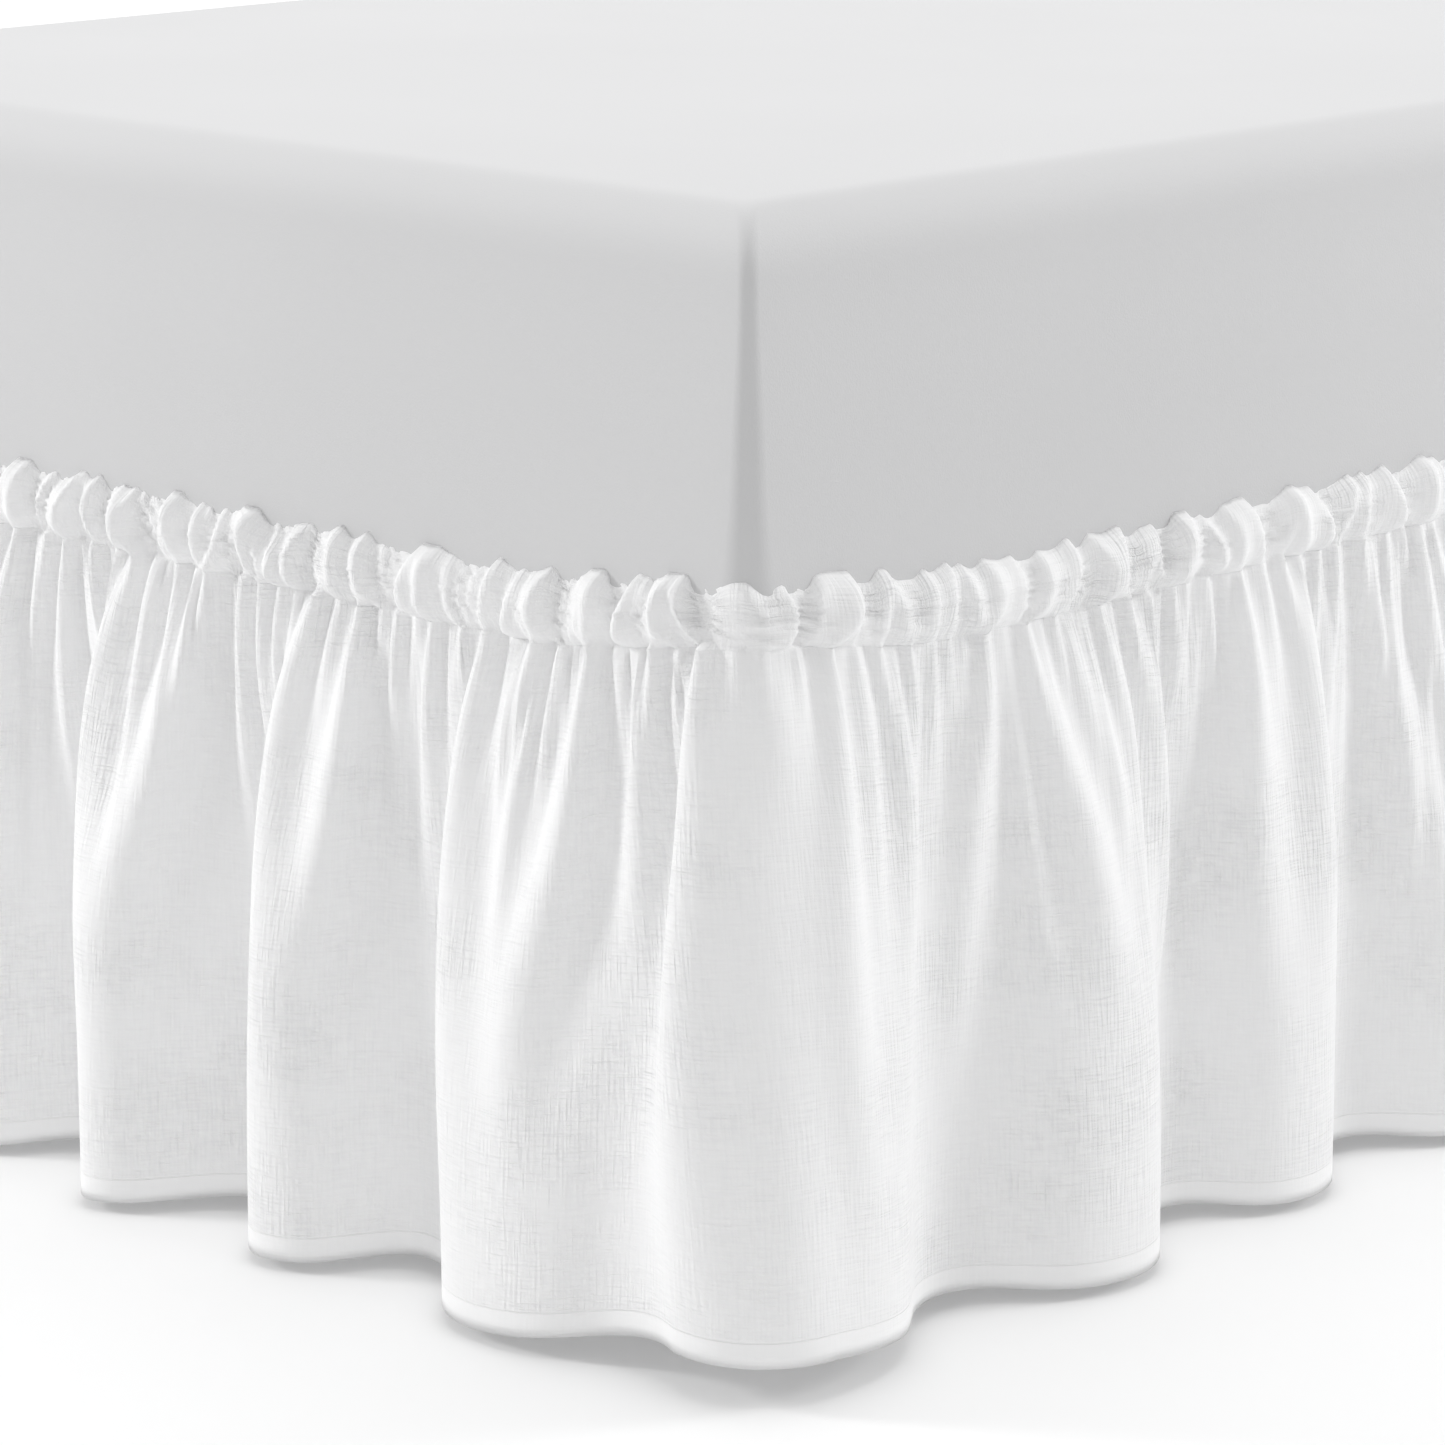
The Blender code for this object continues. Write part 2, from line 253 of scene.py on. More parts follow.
def columns_for(fine, coarse):
    """Places on the strip, in metres of cloth, closer together near the corner at (+X, -Y)."""
    far = np.clip((np.abs(curve_along) - NEAR) / NEAR_FADE, 0, 1)
    spacing = fine + (coarse - fine) * far
    middle = (spacing[1:] + spacing[:-1]) / 2
    counted = np.append(0.0, np.cumsum(np.diff(curve_cloth) / middle))
    count = 2 * round(counted[-1] / 2)
    return np.interp(np.arange(count) * counted[-1] / count, counted, curve_cloth)


cloth_at = columns_for(FINE_COLUMN, COARSE_COLUMN)
across = np.diff(np.append(cloth_at, CLOTH_LENGTH))
print("columns:", len(cloth_at), "of", FINE_COLUMN * 1000, "to", COARSE_COLUMN * 1000, "mm")

# %% [markdown]
# ## Top and bottom of each column
# Every column keeps its place on the strip, so the shirring gathers it and the hem spreads it. The
# gathering is evened out by hand as it is stitched, so each place is a mean over a stretch on either
# side. The rows are closer together under the shirring, where the gathers are small.

# %% Where each column is gathered, and where it ends at the hem
EVENED_OUT = 0.07
DROP_ROWS = 68


def gathered_place(cloth):
    """Where on the outline the shirring holds each place of the strip."""
    crest_cloth = np.interp([turn[0] for turn in turns[::2]], curve_along, curve_cloth)
    crest_along = np.array([turn[0] for turn in turns[::2]])
    offsets = np.linspace(-EVENED_OUT, EVENED_OUT, 15)
    total = np.zeros_like(cloth)
    for offset in offsets:
        moved = cloth + offset
        turned = np.floor(moved / CLOTH_LENGTH)
        total += np.interp(moved - turned * CLOTH_LENGTH, crest_cloth, crest_along) + turned * OUTLINE
    return total / len(offsets)


top_along = gathered_place(cloth_at)
hem_along = np.interp(cloth_at, curve_cloth, curve_along)
hem_out = np.interp(cloth_at, curve_cloth, curve_out)
hem_low = np.interp(cloth_at, curve_cloth, curve_low)
row_steps = np.linspace(0, 1, DROP_ROWS)
down = 0.55 * row_steps + 0.45 * row_steps**1.7
print("drop grid:", len(cloth_at), "columns by", DROP_ROWS, "rows")

# %% [markdown]
# ## Gathers that grow into folds
# Just below the shirring the spare cloth stands in many small gathers. Going down they meet in twos and
# threes and melt into the deep folds of the hem. Each gather here is one soft ridge with its own path,
# width and length. The long ones by the near corner are placed one by one, because they catch the light.

# %% Long ridges near the corner, placed one by one
# Each ridge: strength, width, then the points of its path as (along, height), all in millimetres
Ridge = namedtuple("Ridge", "strength width path")
NEAR_RIDGES = (
    Ridge(0.7, 6, ((-545, 374), (-552, 350), (-556, 320))),
    Ridge(0.9, 6, ((-527, 374), (-531, 330), (-531, 300), (-527, 260))),
    Ridge(0.9, 7, ((-503, 374), (-505, 345), (-515, 330), (-524, 315))),
    Ridge(0.6, 5, ((-481, 374), (-481, 350))),
    Ridge(2.2, 8, ((-463, 374), (-472, 350), (-475, 300), (-476, 240), (-470, 160))),
    Ridge(1.0, 6, ((-427, 374), (-424, 340), (-425, 300), (-423, 270))),
    Ridge(1.4, 9, ((-400, 374), (-406, 352), (-414, 325), (-420, 290),
                   (-428, 255), (-438, 225), (-447, 195), (-455, 155))),
    Ridge(0.8, 6, ((-373, 374), (-375, 340), (-374, 280))),
    Ridge(0.8, 6, ((-343, 374), (-343, 350), (-350, 338), (-357, 325))),
    Ridge(0.7, 5, ((-330, 374), (-327, 355), (-322, 342))),
    Ridge(2.2, 8, ((-311, 374), (-318, 350), (-321, 300), (-319, 230), (-316, 150))),
    Ridge(1.4, 8, ((-275, 374), (-277, 340), (-279, 290), (-282, 255),
                   (-289, 225), (-298, 190), (-306, 145))),
    Ridge(0.9, 6, ((-248, 374), (-247, 360), (-258, 348), (-272, 335))),
    Ridge(0.9, 6, ((-219, 374), (-222, 340), (-224, 300), (-222, 255))),
    Ridge(0.8, 6, ((-196, 375), (-198, 360), (-206, 348), (-212, 338))),
    Ridge(2.2, 8, ((-175, 376), (-179, 350), (-181, 300), (-182, 230), (-178, 130))),
    Ridge(1.2, 8, ((-139, 378), (-146, 352), (-154, 330), (-164, 312), (-175, 290))),
    Ridge(0.7, 5, ((-120, 380), (-128, 364), (-137, 352))),
    Ridge(1.4, 8, ((-99, 382), (-98, 340), (-100, 285), (-105, 250),
                   (-115, 225), (-126, 195), (-133, 150))),
    Ridge(0.7, 5, ((-82, 383), (-86, 366), (-94, 352))),
    Ridge(1.7, 7, ((-53, 385), (-57, 355), (-58, 315), (-53, 255))),
    Ridge(0.6, 6, ((-35, 387), (-42, 360))),
    Ridge(2.2, 8, ((-20, 389), (-21, 352), (-16, 322), (-12, 285), (-12, 220), (-15, 150), (-17, 90))),
    Ridge(0.7, 5, ((0, 390), (-4, 374), (-9, 350))),
    Ridge(0.7, 6, ((2, 390), (6, 362), (11, 320))),
    Ridge(0.7, 5, ((25, 389), (36, 374), (44, 358))),
    Ridge(1.8, 8, ((45, 388), (47, 360), (43, 330), (38, 280), (32, 220), (28, 140))),
    Ridge(0.7, 5, ((61, 386), (56, 365), (49, 350))),
    Ridge(1.1, 7, ((79, 385), (90, 364), (98, 335), (100, 260), (101, 200))),
    Ridge(1.0, 6, ((106, 382), (113, 360), (112, 330), (106, 260))),
    Ridge(0.7, 6, ((139, 378), (146, 355), (156, 336))),
    Ridge(2.2, 8, ((167, 376), (170, 358), (166, 330), (160, 295), (154, 250), (147, 180))),
    Ridge(1.2, 8, ((201, 374), (204, 346), (212, 312), (224, 275), (234, 215))),
    Ridge(0.9, 7, ((224, 374), (237, 342), (246, 312), (256, 275))),
    Ridge(0.8, 6, ((262, 374), (266, 345), (276, 305))),
    Ridge(1.9, 7, ((287, 374), (292, 352), (303, 315), (309, 265), (314, 190))),
    Ridge(0.9, 6, ((327, 374), (335, 352), (331, 335), (316, 318), (305, 300))),
    Ridge(0.9, 9, ((383, 374), (387, 340), (385, 280), (381, 190))),
    Ridge(2.0, 8, ((423, 374), (431, 354), (436, 332), (434, 270), (438, 190))),
    Ridge(0.8, 6, ((459, 374), (456, 355), (441, 334))),
    Ridge(1.1, 8, ((499, 374), (505, 350), (512, 322), (526, 280), (535, 220))),
    Ridge(0.8, 6, ((540, 374), (552, 350), (558, 325))),
)
MM = 1000


def in_metres(ridge):
    path = [(along / MM, height / MM) for along, height in ridge.path]
    return Ridge(ridge.strength, ridge.width / MM, path)


print("ridges placed by hand:", len(NEAR_RIDGES))

# %% [markdown]
# ## Ridges for the rest of the bed
# Away from the near corner each fold gets up to three ridges, which start at the shirring and lean
# towards the fold's crest. Their lengths differ, so that no two folds look alike.

# %% The other long ridges
NEAR_RIDGE_REACH = 0.56
RIDGE_TOP = 0.374
OTHER_RIDGE_WIDTH = 0.008
LEANS = ((0.42, -0.24), (0.68, 0.16), (0.16, -0.06))  # where in the fold it starts, how far it leans


def other_ridges(chance):
    ridges = []
    for fold, after in zip(folds, folds[1:] + [folds[0]._replace(crest=folds[0].crest + OUTLINE)]):
        width = after.crest - fold.crest
        for share, lean in LEANS:
            start = fold.crest + width * (share + chance.uniform(-0.07, 0.07))
            reach = width * lean * chance.uniform(0.6, 1.2)
            length = chance.uniform(0.09, 0.24)
            strength = chance.uniform(0.7, 1.2)
            if -NEAR_RIDGE_REACH < start < NEAR_RIDGE_REACH:
                continue
            middle = (start + 0.35 * reach, RIDGE_TOP - 0.3 * length)
            path = ((start, RIDGE_TOP), middle, (start + reach, RIDGE_TOP - length))
            ridges.append(Ridge(strength, OTHER_RIDGE_WIDTH, path))
    return ridges


ridges = [in_metres(ridge) for ridge in NEAR_RIDGES] + other_ridges(random.Random(23))
print("long ridges:", len(ridges))

# %% [markdown]
# ## Small gathers
# Between the long ridges the stitches make a gather about every 16 mm, none like the next. A gather
# beside the top of a long ridge is kept faint, because the ridge has taken its cloth.

# %% Place the small gathers
GATHER_PITCH = 0.0160
BESIDE_RIDGE = 0.009
FAINT = 0.25
chance = random.Random(41)
ridge_tops = np.array([ridge.path[0][0] for ridge in ridges])
gathers = []
place = top_along[0]
while place < top_along[0] + OUTLINE - GATHER_PITCH / 2:
    drift = chance.uniform(-0.006, 0.006)
    beside_ridge = np.abs(ridge_tops - place).min() < BESIDE_RIDGE
    strength = chance.uniform(0.45, 1.0) * (FAINT if beside_ridge else 1.0)
    gathers.append((place, drift, strength, chance.uniform(0.06, 0.22)))
    place += GATHER_PITCH * chance.uniform(0.68, 1.32)
print("gathers:", len(gathers))

# %% [markdown]
# ## The smooth surface under the ridges
# Without its ridges the cloth would be a smooth surface from the even line of the shirring to the
# folded line of the hem. It opens fast at first and then more slowly, and just below the stitches it
# stands out a little, as the stitches pinch it.

# %% From the shirring to the hem
OPENING = 2.25
SHIRRING_DEPTH = 0.0056
PINCH_OUT = 0.0018
PINCH_REACH = 0.012
STITCHES_BELOW = 0.0004
opened = (1 - (1 - down) ** OPENING)[:, None]
base_along = top_along[None, :] + (hem_along - top_along)[None, :] * opened
pinch_out = PINCH_OUT * (1 - np.exp(-down / PINCH_REACH))
base_out = (SHIRRING_DEPTH + pinch_out)[:, None] * (1 - opened) + hem_out[None, :] * opened
top_z = shirring_z(top_along) - STITCHES_BELOW
hem_z = HEM_HEIGHT + VALLEY_HEM_LIFT * hem_low + rise(hem_along, HEM_CORNER_RISE, CORNER_RISE_REACH)
base_z = top_z[None, :] + (hem_z - top_z)[None, :] * down[:, None]
print("hem stands out", round(hem_out.min() * 1000), "to", round(hem_out.max() * 1000), "mm")

# %% [markdown]
# ## The pattern of ridges and gathers
# All ridges and gathers are added up into one pattern, which says how far each point would stand off
# the smooth surface. A ridge has a shallow dip on either side, as the cloth for it comes from there.
# Ridges and gathers grow broader on the way down, and fade out.

# %% Add up ridges and gathers
RIDGE_SLOPE, RIDGE_NARROW, RIDGE_BROADER = 0.55, 0.64, 2.4
GATHER_SLOPE, GATHER_NARROW, GATHER_BROADER = 0.38, 0.36, 1.2
RIDGE_FADE = 0.10


def ridge_bump(apart, width):
    """A soft ridge with a shallow dip on either side, so that it takes up cloth evenly."""
    near = np.exp(-(np.abs(apart / width) ** 1.5))
    dips = np.exp(-(((apart - 1.7 * width) / width) ** 2)) + np.exp(-(((apart + 1.7 * width) / width) ** 2))
    return near - 0.5 * dips


def near_columns(places, middle, reach):
    """The columns near a ridge's middle, round the bed, and how far from it they are at each row."""
    for turn in (-1, 0, 1):
        apart = places - (middle + turn * OUTLINE)[:, None]
        near = np.abs(apart).min(axis=0) < reach
        if near.any():
            yield near, apart[:, near]


def add_bump(pattern, middle, width, height):
    """Adds one ridge whose middle, width and height are given for each row."""
    for near, apart in near_columns(base_along, middle, 4 * width.max()):
        pattern[:, near] += height[:, None] * ridge_bump(apart, width[:, None])


pattern = np.zeros_like(base_along)
row_height = SHIRRING_HEIGHT * (1 - down)
for ridge in ridges:
    path = np.array(ridge.path)[::-1]
    middle = np.interp(row_height, path[:, 1], path[:, 0])
    low = path[0, 1]
    fade = np.clip((row_height - low + RIDGE_FADE / 2) / RIDGE_FADE, 0, 1)
    fade = fade * fade * (3 - 2 * fade)
    width = ridge.width * (RIDGE_NARROW + RIDGE_BROADER * down**0.8)
    add_bump(pattern, middle, width, ridge.strength * RIDGE_SLOPE * width * fade)
for place, drift, strength, length in gathers:
    fade = np.exp(-((down / length) ** 1.5))
    width = GATHER_PITCH * (GATHER_NARROW + GATHER_BROADER * down)
    middle = place + drift * np.minimum(down / 0.1, 2)
    add_bump(pattern, middle, width, strength * GATHER_SLOPE * width * fade)
print("highest before scaling:", round(float(np.abs(pattern).max()) * 1000, 1), "mm")

# %% [markdown]
# ## As much ridge as there is cloth
# Cloth hardly stretches, so a ridge is exactly as high as the spare cloth asks. At each row we compare
# how far apart the columns are with how much cloth lies between them. What is missing has to go into
# the ridges, and scaling them by that amount gives a surface that already keeps its lengths.

# %% Running means and steps round the bed


def smoothed(values, span):
    """A running mean along the strip over `span` columns on either side."""
    padded = np.concatenate([values[:, -span:], values, values[:, :span]], axis=1)
    summed = np.cumsum(np.insert(padded, 0, 0.0, axis=1), axis=1)
    return (summed[:, 2 * span + 1:] - summed[:, : -2 * span - 1]) / (2 * span + 1)


def ahead(values):
    """The change from each column to the next one round the bed."""
    return np.roll(values, -1, axis=-1) - values


base_x, base_y = on_outline(base_along, base_out)
base_speed = np.hypot(ahead(base_x), ahead(base_y)) / across
print("cloth used at the shirring before the ridges:", round(float(base_speed[0].mean()), 3))

# %% [markdown]
# A ridge's extra length grows with the square of its slope, so the square root of spare over used
# gives the scale. It is kept within limits, as cloth can't stand in ridges of any height.

# %% Scale the ridges to the spare cloth
SPARE_SPAN = 10
SCALE_LIMITS = (0.1, 2.2)
slope = ahead(pattern) / across
spare = smoothed(np.clip(1 - base_speed**2, 0, 1), SPARE_SPAN)
used = smoothed(slope**2, SPARE_SPAN)
scale = np.clip(np.sqrt(spare / (used + 1e-4)), *SCALE_LIMITS)
ridge_out = pattern * smoothed(scale, 4)

run_x = np.roll(base_x, -1, axis=1) - np.roll(base_x, 1, axis=1)
run_y = np.roll(base_y, -1, axis=1) - np.roll(base_y, 1, axis=1)
run = np.hypot(run_x, run_y) + 1e-9
drop = np.stack([base_x + ridge_out * run_y / run, base_y - ridge_out * run_x / run, base_z], axis=-1)
print("spare at the shirring:", round(float(spare[0].mean()), 3))

# %% [markdown]
# ## Letting the cloth settle
# The last step towards real cloth is to let it settle. Each round pulls every pair of neighbouring
# points to the length of cloth between them, smooths sharp bends as a stiff thread would, and keeps
# the cloth out of the bed. The shirring stays where it is sewn, and the hem is held loosely. This is
# how cloth solvers work, and on a plain grid numpy does it in seconds.

# %% The settling tools
CLEAR_OF_BED = 0.0026


def pull(points, first, second, rest, share):
    """Moves pairs of points a share of the way to the length of cloth between them."""
    gap = points[second] - points[first]
    length = np.sqrt(np.einsum("...i,...i", gap, gap)) + 1e-9
    move = (0.5 * share * (1 - rest / length))[..., None] * gap
    points[first] += move
    points[second] -= move


def pull_across(points, rest, share):
    pull(points, np.s_[:, 0:-1:2], np.s_[:, 1::2], rest[0::2], share)
    pull(points, np.s_[:, 1:-1:2], np.s_[:, 2::2], rest[1:-1:2], share)
    pull(points, np.s_[:, -1], np.s_[:, 0], rest[-1], share)


def pull_down(points, rest, share):
    even = (len(points) - 1) // 2 * 2
    pull(points, np.s_[0:even:2], np.s_[1:even + 1:2], rest[0:even:2], share)
    pull(points, np.s_[1:-1:2], np.s_[2::2], rest[1::2][: len(points[2::2])], share)


def straighten(points, across_share, down_share):
    """Smooths bends along and down the cloth without shrinking its broad folds."""
    bend = (np.roll(points, 1, axis=1) + np.roll(points, -1, axis=1)) / 2 - points
    bend = (np.roll(bend, 1, axis=1) + np.roll(bend, -1, axis=1)) / 2 - bend
    points -= across_share * bend
    bend = np.zeros_like(points)
    bend[1:-1] = (points[:-2] + points[2:]) / 2 - points[1:-1]
    points[1:-1] += down_share * bend[1:-1]


def outward(points):
    """How far points are from the bed's side, and the direction straight out of it."""
    inner = np.array([INNER_X, INNER_Y], points.dtype)
    beyond = np.maximum(np.abs(points[..., :2]) - inner, 1e-6)
    reach = np.sqrt(np.einsum("...i,...i", beyond, beyond))
    return reach - CORNER_RADIUS, np.sign(points[..., :2]) * beyond / reach[..., None]


def keep_out(points, least):
    apart, direction = outward(points)
    points[..., :2] += direction * np.maximum(least - apart, 0)[..., None]


print("the cloth is kept", CLEAR_OF_BED * 1000, "mm clear of the bed")

# %% [markdown]
# ## Settling the drop
# Close under the shirring the gathers are sharp, so bends are hardly smoothed there, and more so
# further down where the cloth hangs in broad folds. The hem is only drawn gently back to its line.

# %% Settle the drop
BEND_AT_SHIRRING, BEND_BELOW, BEND_DOWN = 0.003, 0.10, 0.15
DROP_PULL = 0.9
HEM_HOLD = 0.35
DROP_ROUNDS = 220
drop = drop.astype(np.float32)
start = drop.copy()
rest_across = across.astype(np.float32)
base = np.stack([base_x, base_y, base_z], axis=-1)
rest_down = np.sqrt(((base[1:] - base[:-1]) ** 2).sum(-1)).astype(np.float32)
bend_share = BEND_AT_SHIRRING + BEND_BELOW * np.clip(down * 1.6, 0, 1)
bend_share = bend_share[:, None, None].astype(np.float32)
hem_target = base[-1].astype(np.float32)
for _ in range(DROP_ROUNDS):
    straighten(drop, bend_share, BEND_DOWN)
    pull_across(drop, rest_across, DROP_PULL)
    pull_down(drop, rest_down, DROP_PULL)
    keep_out(drop, CLEAR_OF_BED)
    drop[0] = start[0]
    drop[-1] += HEM_HOLD * (hem_target - drop[-1])
stretch = np.sqrt(((np.roll(drop, -1, axis=1) - drop) ** 2).sum(-1)) / rest_across
print("cloth length kept to", round(float(stretch.mean()), 3), "+-", round(float(stretch.std()), 3))

# %% [markdown]
# ## Turning the grid into a mesh
# A grid that closes on itself needs its last column joined to the first. Each corner of a face also
# gets its place on the flat strip, in metres, as a UV. The weave is drawn with those, so the threads
# run along the cloth wherever it goes.

# %% Make a closed strip of cloth
CLOTH_UV = "cloth_metres"


def put_in_scene(name, data):
    """A new object in the scene for a mesh, a light or a camera."""
    made = bpy.data.objects.new(name, data)
    bpy.context.scene.collection.objects.link(made)
    return made


def ring_faces(rows, columns):
    """The four-sided faces between rows of points, each row joined end to end."""
    number = np.arange(rows * columns).reshape(rows, columns)
    after = np.roll(number, -1, axis=1)
    return np.stack([number[1:], after[1:], after[:-1], number[:-1]], axis=-1).reshape(-1, 4).tolist()


def strip_mesh(name, points, cloth, height):
    """A mesh from rows and columns of points, with its place on the flat strip as UVs."""
    rows, columns = points.shape[:2]
    mesh = bpy.data.meshes.new(name)
    mesh.from_pydata(points.reshape(-1, 3).tolist(), [], ring_faces(rows, columns))
    left = np.broadcast_to(cloth, (rows, columns))
    right = np.broadcast_to(np.append(cloth[1:], CLOTH_LENGTH), (rows, columns))
    level = np.broadcast_to(height[:, None], (rows, columns))
    uv = np.stack(
        [
            np.stack([left[1:], level[1:]], axis=-1),
            np.stack([right[1:], level[1:]], axis=-1),
            np.stack([right[:-1], level[:-1]], axis=-1),
            np.stack([left[:-1], level[:-1]], axis=-1),
        ],
        axis=2,
    )
    layer = mesh.uv_layers.new(name=CLOTH_UV)
    layer.data.foreach_set("uv", uv.astype(np.float32).ravel())
    mesh.shade_smooth()
    return put_in_scene(name, mesh)


# %% [markdown]
# ## The turned-up hem
# The hem is folded up on the inside and stitched, so the last 16 mm are two layers. The inner layer is
# a few more rows on the same sheet, just behind the outer ones. In the light it reads as a paler band.

# %% The drop with its hem
HEM_WIDTH = 0.016
HEM_LEVELS = (0.0012, 0.006, 0.011, HEM_WIDTH)
FOLD_GAP = 0.0009
DROP_CUT = 0.371


def level_row(values, lengths, level):
    """Each column's value at `level` metres of cloth above the edge."""
    above = np.searchsorted(lengths, level)
    share = (level - lengths[above - 1]) / (lengths[above] - lengths[above - 1])
    reverse = values[::-1]
    return reverse[above - 1] + share * (reverse[above] - reverse[above - 1])


def behind_rows(points, levels, lengths, gap):
    """Rows that follow the lowest part of the cloth on its inner side, from the edge up."""
    made = []
    for level in levels:
        row = np.empty_like(points[-1])
        for axis in range(3):
            row[:, axis] = level_row(points[..., axis], lengths, level)
        run = np.roll(row, -1, axis=0) - np.roll(row, 1, axis=0)
        size = np.hypot(run[:, 0], run[:, 1]) + 1e-9
        row[:, 0] -= gap * run[:, 1] / size
        row[:, 1] += gap * run[:, 0] / size
        made.append(row)
    return np.array(made)


cut_height = DROP_CUT * (1 - down)
hem_rows = behind_rows(drop, HEM_LEVELS, cut_height[::-1], FOLD_GAP)
drop_points = np.concatenate([drop, hem_rows])
drop_heights = np.concatenate([cut_height, -np.array(HEM_LEVELS)])
skirt_drop = strip_mesh("drop_cloth", drop_points, cloth_at, drop_heights)
print("drop:", len(skirt_drop.data.polygons) * 2, "triangles")

# %% [markdown]
# ## The gathered heading
# Above the shirring the cloth goes up, over and down again as a casing that grips the bed, so the same
# spare cloth puffs out there. Its rows start at the stitches, go up the outside, over the top and down
# the inside. The outside bulges, and less so where the casing is pulled tight round a corner.

# %% Rows and bulge of the heading
HEADING_COLUMNS = (0.0026, 0.0062)
OUTSIDE_ROWS, INSIDE_ROWS = 18, 9
CASING_OUTSIDE, CASING_INSIDE = 0.047, 0.039
BULGE_UP = (0, 0.06, 0.25, 0.55, 0.80, 0.93, 1.0)
BULGE_OUT = (0.0056, 0.0095, 0.0120, 0.0125, 0.0100, 0.0060, 0.0020)
INSIDE_OUT = 0.0012
TOP_BELOW = 0.001
CORNER_TIGHT, CORNER_TIGHT_REACH = 0.4, 0.03
heading_cloth_at = columns_for(*HEADING_COLUMNS)
heading_across = np.diff(np.append(heading_cloth_at, CLOTH_LENGTH)).astype(np.float32)
heading_along = gathered_place(heading_cloth_at)
outside_up = np.linspace(0, 1, OUTSIDE_ROWS)
inside_up = np.linspace(1, 0, INSIDE_ROWS + 1)[1:]
up = np.concatenate([outside_up, inside_up])
outside = np.concatenate([np.ones(OUTSIDE_ROWS), np.zeros(INSIDE_ROWS)])
bulge = np.concatenate([np.interp(outside_up, BULGE_UP, BULGE_OUT), np.full(INSIDE_ROWS, INSIDE_OUT)])
tight = CORNER_TIGHT * np.exp(-((from_corner(heading_along) / CORNER_TIGHT_REACH) ** 2))
bulge = bulge[:, None] * (1 - tight)[None, :]
low_z = shirring_z(heading_along)
high_z = heading_top_z(heading_along) - TOP_BELOW
heading_base_z = low_z[None, :] + (high_z - low_z)[None, :] * up[:, None]
heading_base_along = np.broadcast_to(heading_along, heading_base_z.shape)
print("heading grid:", len(heading_along), "columns by", len(up), "rows")

# %% [markdown]
# ## Puffs
# A puff is a ridge with a steep side and a gentle side. It leans and bows on its way up, and it is not
# as strong at the stitches as at the top, so that one puff runs into the next. They are uneven, as
# nobody gathers a casing evenly.

# %% Place the puffs
PUFF_PITCH = 0.0205
PUFF_HEIGHT = 0.007
PUFF_SPAN = 14
CREST_HEIGHT = 0.003
chance = random.Random(7)
puffs = np.zeros_like(heading_base_z)
place = heading_along[0]
while place < heading_along[0] + OUTLINE - PUFF_PITCH / 2:
    lean = chance.uniform(-0.014, 0.014)
    bow = chance.uniform(-0.006, 0.006)
    low_strength, high_strength = chance.uniform(0.1, 1.3), chance.uniform(0.2, 1.4)
    steep = PUFF_PITCH * chance.uniform(0.16, 0.26)
    gentle = PUFF_PITCH * chance.uniform(0.45, 0.85)
    facing = chance.choice((-1, 1))
    middle = place + lean * (up - 0.3) + bow * np.sin(math.pi * up)
    strength = (low_strength + (high_strength - low_strength) * up)[:, None]
    for near, apart in near_columns(heading_base_along, middle, 4 * gentle):
        side = np.where(facing * apart < 0, steep, gentle)
        puffs[:, near] += strength * PUFF_HEIGHT * np.exp(-((np.abs(apart) / side) ** 1.5))
    place += PUFF_PITCH * chance.uniform(0.45, 1.6)
puffs -= smoothed(puffs, PUFF_SPAN)
crest_share = np.clip(puffs[OUTSIDE_ROWS - 1] / CREST_HEIGHT, -1, 1)
print("puffs stand out up to", round(float(puffs.max()) * 1000, 1), "mm")

# %% [markdown]
# ## Gathers at the stitches
# The stitches gather drop and heading in one go, so close above them the heading shows the same
# gathers as the drop has. They fade within a few millimetres, where the puffs take over.

# %% Add the drop's gathers to the foot of the heading
FOOT_STRENGTH, FOOT_REACH = 0.6, 0.12
width = GATHER_PITCH * GATHER_NARROW
fade = FOOT_STRENGTH * np.exp(-((up / FOOT_REACH) ** 2)) * outside
for place, drift, strength, length in gathers:
    height = (strength * GATHER_SLOPE * width * fade)[:, None]
    for near, apart in near_columns(heading_base_along, np.full(len(up), place), 5 * width):
        puffs[:, near] += height * ridge_bump(apart, width)
print("gathers at the stitches:", len(gathers))

# %% [markdown]
# ## As much puff as there is cloth
# The puffs are scaled to the spare cloth, as the ridges of the drop were. The inside lies nearly flat
# on the bed and the last rows below the top calm down, because the elastic pulls them in. The top edge
# rises over each puff and dips between them. The first row is the drop's own top edge, so that no gap
# can show at the seam.

# %% Scale the puffs and sew the heading to the drop
PUFF_SPARE_SPAN = 16
PUFF_LIMITS = (0.2, 2.0)
INSIDE_FREEDOM = 0.25
TOP_FREEDOM = ((0.75,), (0.45,), (0.08,))
INSIDE_CLEARANCE = 0.0006
TOP_EDGE_RISE = 0.0035
heading_x, heading_y = on_outline(heading_base_along, bulge)
speed = np.hypot(ahead(heading_x), ahead(heading_y)) / heading_across
used = smoothed((ahead(puffs) / heading_across) ** 2, PUFF_SPARE_SPAN)
wanted = np.sqrt(smoothed(np.clip(1 - speed**2, 0, 1), PUFF_SPARE_SPAN) / (used + 1e-3))
freedom = np.where(outside > 0, 1.0, INSIDE_FREEDOM)[:, None]
freedom[OUTSIDE_ROWS - 3: OUTSIDE_ROWS] = TOP_FREEDOM
heading_out = bulge + puffs * np.clip(wanted, *PUFF_LIMITS) * freedom
heading_x, heading_y = on_outline(heading_base_along, np.maximum(heading_out, INSIDE_CLEARANCE))
heading_z = heading_base_z + TOP_EDGE_RISE * crest_share[None, :] * up[:, None] ** 2
heading = np.stack([heading_x, heading_y, heading_z], axis=-1).astype(np.float32)
wrapped = np.append(cloth_at, cloth_at[0] + CLOTH_LENGTH)
